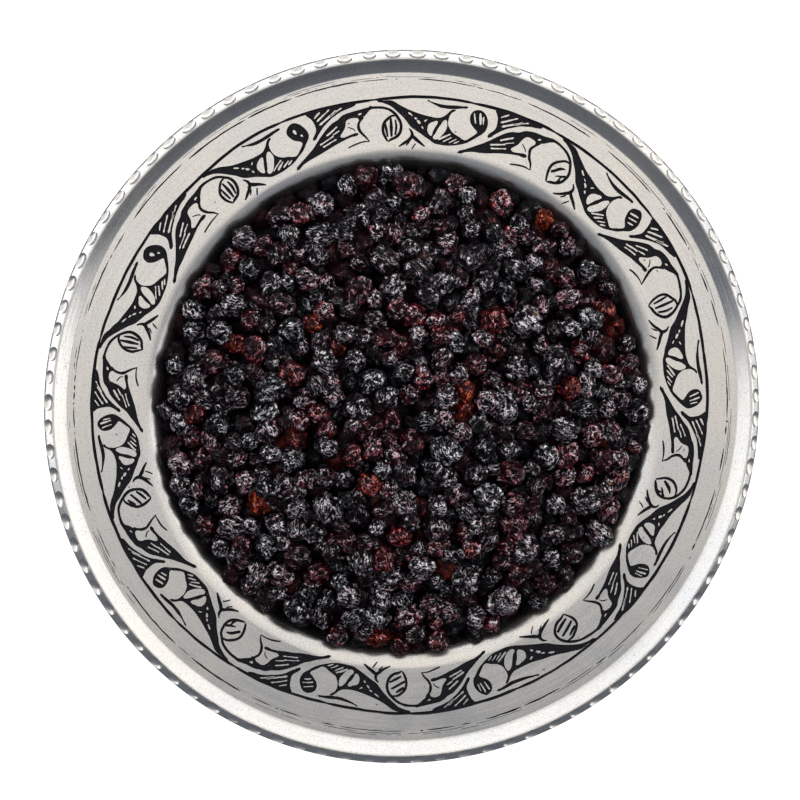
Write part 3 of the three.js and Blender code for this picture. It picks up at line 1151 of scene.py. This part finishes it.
def driedSkin():
    look = berryLook
    material, tree, shader, place = newMaterial("driedSkin")

    def fromBerry(name, y):
        return addNode(tree, "ShaderNodeAttribute", -1100, y, attribute_name=name).outputs["Fac"]

    def times(x, y, value, share):
        return mathNode(tree, "MULTIPLY", x, y, value, share)

    wrinkles = useGroup(tree, creases, -850, -200, **{
        "Place": place, "Girth": fromBerry("girth", -200), "Fold Scale": look["foldScale"],
        "Grain Scale": look["grainScale"]})
    # one berry isn't the same red all over
    patches = noiseNode(tree, -850, 500, place, look["patchScale"], 2.0)
    shift = mathNode(tree, "SUBTRACT", -750, 500, patches, 0.5)
    varied = mathNode(tree, "ADD", -500, 420, fromBerry("tone", 400), shift)
    deep = rampNode(tree, varied, -350, 550, look["creases"])
    # painted highlight colour for the ridges, near white, and tinted red on the red berries
    paintedHighlightColour = rampNode(tree, varied, -350, 300, look["ridges"])
    # painted highlights: the lines are brightest on what stands out, in some patches, and on the berries
    # that lie high
    lift = mathNode(tree, "SUBTRACT", -650, 0, times(-750, 0, fromBerry("ridge", 250), 2.0), 0.35)
    lift = mathNode(tree, "MAXIMUM", -560, 0, lift, 0.0)
    sheen = mathNode(tree, "ADD", -650, 100, times(-750, 60, wrinkles["Sheen"], 0.95), 0.34)
    high = times(-460, 100, times(-560, 100, wrinkles["Net"], sheen), lift)
    high = times(-400, 60, high, rangeNode(tree, -560, -160, wrinkles["Grain"], (0.38, 0.6), (0.75, 1.15)))
    high = mathNode(tree, "MINIMUM", -250, 100, times(-350, 100, high, fromBerry("paintedShine", -20)), 1.0)
    high = mathNode(tree, "POWER", -200, 100, high, 2.1)
    skin = mixColours(tree, -60, 400, high, deep, paintedHighlightColour)
    skin = mixColours(tree, 150, 400, times(0, 200, fromBerry("scar", 100), 0.75), skin, look["scar"])
    rough = mathNode(tree, "ADD", 0, -50, times(-150, -50, wrinkles["Grain"], 0.3), look["gloss"])
    height = mathNode(tree, "ADD", 60, -300, wrinkles["Net"], times(-60, -380, wrinkles["Grain"], 0.3))
    bumpInto(tree, shader, height, look["netDepth"])
    # the blacker a berry, the more it shines
    share = mathNode(tree, "SUBTRACT", -60, -150, 1.25, times(-150, -150, varied, 1.2))
    share = mathNode(tree, "MAXIMUM", 0, -150, share, 0.12)
    gleam = mathNode(tree, "MINIMUM", 160, -200, times(60, -200, high, share), 1.0)
    feedAll(tree, shader, **{
        "Base Color": skin, "Roughness": rough, "Coat Weight": gleam, "Coat IOR": look["shine"],
        "Coat Roughness": look["shineRough"], "Specular IOR Level": look["dullShine"]})
    return material


def placeBerry(kinds, chance, entry):
    x, y, z, radius, tilt, heading = entry
    shown, hidden = chance.choice(kinds)
    depth = heapHeight(math.hypot(x, y) / mm) * mm - z
    copy = ownCopy(hidden if depth > berry["hiddenDepth"] else shown, "berry")
    rolled = chance.uniform(0, 6.3)
    spin = Matrix.Rotation(rolled, 4, Vector([chance.uniform(-1, 1) for _ in range(3)]).normalized())
    shape = Matrix.Diagonal((*[side * radius for side in heap["shape"]], 1))
    turn = Matrix.Rotation(heading, 4, "Z") @ Matrix.Rotation(tilt, 4, "X")
    copy.data.transform(Matrix.Translation((x, y, z)) @ turn @ shape @ spin)
    colour = berryTone(chance)
    vertices = copy.data.vertices
    setAttribute(copy, "tone", [colour] * len(vertices))
    setAttribute(copy, "girth", [girth.value * radius / mm for girth in copy.data.attributes["girth"].data])
    # painted shade: a berry lower down, and a side turned away from the light, shows less of its painted
    # highlights
    full = berryLook["paintedShine"] + berryLook["morePaintedShine"] * chance.random() ** 1.5
    if colour > 0.6:
        full = max(full, berryLook["redPaintedShine"])
    full *= max(0.0, min(1.0, (berry["shadeDepth"] - depth) / berry["shadeFade"]))
    setAttribute(copy, "paintedShine", [full * (0.1 + 0.9 * max(0.0, vert.normal.z)) for vert in vertices])
    if chance.random() < 1 - berryLook["scarred"]:
        setAttribute(copy, "scar", [0.0] * len(vertices))
    return copy


bed = {
    "steps": 120,
    # its side up the wall of the well, as distances from the axis and heights
    "side": [(28 * mm, bowl["sheet"] + 0.3 * mm), (45 * mm, 7 * mm), (55 * mm, 15 * mm)],
    "lumpScale": 5 * mm,
    "lumpDepth": 2.5 * mm,
    "lumpsOver": 17 * mm,  # height from which its top is lumpy
}


def makeBed(skin):
    # the berries further down, as one dark rough mass under the loose ones
    top = [(distance * mm, (heapHeight(distance) - heap["coreDepth"]) * mm)
           for distance in range(56, -1, -2)]
    piece = turned([(0.0, bed["side"][0][1])] + bed["side"] + top, bed["steps"])
    print("bed turned:", len(piece.data.polygons), "faces")
    group = piece.vertex_groups.new(name="top")
    group.add([v.index for v in piece.data.vertices if v.co.z > bed["lumpsOver"]], 1.0, "REPLACE")
    modifier = piece.modifiers.new("bedLumps", "DISPLACE")
    modifier.texture = bpy.data.textures.new("bedLumps", "VORONOI")
    modifier.texture.noise_scale = bed["lumpScale"]
    modifier.texture_coords = "LOCAL"
    modifier.vertex_group = "top"
    modifier.strength = -bed["lumpDepth"]
    modifier.mid_level = 0.3
    applyAll(piece)
    # the mass takes the darkest skin and almost no painted highlight, as painted shade deep in the heap
    for name, value in (("tone", 0.1), ("ridge", 0.3), ("scar", 0.0), ("girth", 0.0), ("paintedShine", 0.08)):
        setAttribute(piece, name, [value] * len(piece.data.vertices))
    piece.data.materials.append(skin)
    piece.name = "currantBed"
    bpy.ops.object.shade_smooth()
    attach(piece, "root")
    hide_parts("currants")


def makeCurrants():
    chance = random.Random(berry["seed"])
    skin = driedSkin()
    kinds = berryKinds(chance)
    masters = [piece for pair in kinds for piece in pair]
    for piece in masters:
        piece.data.materials.append(skin)
        piece.data.polygons.foreach_set("use_smooth", [True] * len(piece.data.polygons))
    print("berry kinds made:", len(kinds))
    quarters = [[], [], [], []]
    for entry in settledBerries():
        quarter = (0 if entry[0] > 0 else 1) + (0 if entry[1] > 0 else 2)
        quarters[quarter].append(placeBerry(kinds, chance, entry))
    for piece in masters:
        bpy.data.objects.remove(piece)
    names = ("currantsBackRight", "currantsBackLeft", "currantsFrontRight", "currantsFrontLeft")
    for quarter, name in zip(quarters, names):
        piece = joined(quarter, name)
        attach(piece, "root")
        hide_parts("currants")
        print(name, len(quarter), "berries,", len(piece.data.polygons), "faces")
    makeBed(skin)


makeCurrants()
print("currants done")


# Camera, floor and light

studio = {
    "frameWidth": 189.8 * mm,  # what the picture takes in across, at the rim
    "rimHeight": 26 * mm,
    "distance": 0.8,
    "lean": 8.0,  # degrees off straight down
    "towards": 130.0,  # the side it leans to, upper left
    "aim": (-1.5 * mm, 2.9 * mm),
    "floorWhite": (0.9, 0.9, 0.9),
    "floorGlow": 0.8,
    "sky": 0.2,
    "skyColour": (0.84, 0.93, 1.08),
    # a tent of white cloth, dim and low at the front, with brighter daylight near the table on its other
    # sides: place, what it faces, width, height, brightness and colour
    "cloths": {
        "tentRoof": ((0.05, 0.46, 1.5), (0.05, 0.46, 0), 2.4, 1.42, 1.08, (1.0, 0.94, 0.86)),
        "tentFront": ((0, -0.75, 1.5), (0, -0.75, 0), 2.4, 1.0, 0.15, (0.97, 0.98, 1.0)),
        "tentBack": ((0, 1.3, 0.9), (0, 0, 0.9), 2.4, 1.2, 1.5, (1.0, 0.99, 0.97)),
        "tentRight": ((1.2, 0.35, 0.9), (0, 0.35, 0.9), 1.9, 1.2, 1.45, (1.0, 0.98, 0.95)),
        "tentLeft": ((-1.2, 0.45, 0.9), (0, 0.45, 0.9), 1.7, 1.2, 1.45, (0.98, 0.99, 1.0)),
        "daylightBack": ((0, 1.25, 0.24), (0, 0, 0.24), 2.2, 0.4, 1.35, (1.0, 1.0, 0.97)),
        "daylightRight": ((1.15, 0.3, 0.24), (0, 0.3, 0.24), 1.6, 0.4, 1.45, (1.0, 0.99, 0.97)),
        "daylightLeft": ((-1.15, 0.4, 0.24), (0, 0.4, 0.24), 1.5, 0.4, 1.45, (0.98, 0.99, 1.0)),
    },
}


def makeCamera():
    lean = math.radians(studio["lean"])
    towards = math.radians(studio["towards"])
    back = Vector((math.cos(towards) * math.sin(lean), math.sin(towards) * math.sin(lean), math.cos(lean)))
    aim = Vector((*studio["aim"], studio["rimHeight"]))
    bpy.ops.object.camera_add(location=aim + back * studio["distance"])
    camera = bpy.context.object
    camera.name = "camera"
    up = Vector((0, 1, 0))
    across = up.cross(back).normalized()
    upright = back.cross(across)
    turn = Matrix((across, upright, back)).transposed()
    camera.rotation_euler = turn.to_euler()
    camera.data.sensor_width = 36
    camera.data.lens = 36 * studio["distance"] / studio["frameWidth"]
    camera.data.clip_end = 10
    bpy.context.scene.camera = camera


def makeFloor():
    bpy.ops.mesh.primitive_plane_add(size=6, location=(0, 0, -0.05 * mm))
    floor = bpy.context.object
    floor.name = "floor"
    material, tree, shader, place = newMaterial("paleFloor")
    feedAll(tree, shader, **{
        "Base Color": studio["floorWhite"], "Roughness": 0.7, "Emission Color": (1.0, 1.0, 1.0),
        "Emission Strength": studio["floorGlow"]})
    floor.data.materials.append(material)
    floor.visible_glossy = False  # the metal shows a dark room below the cloth


def softbox(name, place, aim, width, height, brightness, colour):
    bpy.ops.object.light_add(type="AREA", location=place)
    light = bpy.context.object
    light.name = name
    light.data.shape = "RECTANGLE"
    light.data.size = width
    light.data.size_y = height
    light.data.energy = brightness * math.pi * width * height
    light.data.color = colour
    light.rotation_euler = (Vector(place) - Vector(aim)).to_track_quat("Z", "Y").to_euler()


def makeLight():
    for name, cloth in studio["cloths"].items():
        softbox(name, *cloth)
    world = bpy.data.worlds.new("softRoom")
    bpy.context.scene.world = world
    world.use_nodes = True
    feedAll(world.node_tree, world.node_tree.nodes["Background"],
            Color=studio["skyColour"], Strength=studio["sky"])
    bpy.context.scene.view_settings.view_transform = "Standard"


makeCamera()
makeFloor()
makeLight()
print("studio done")
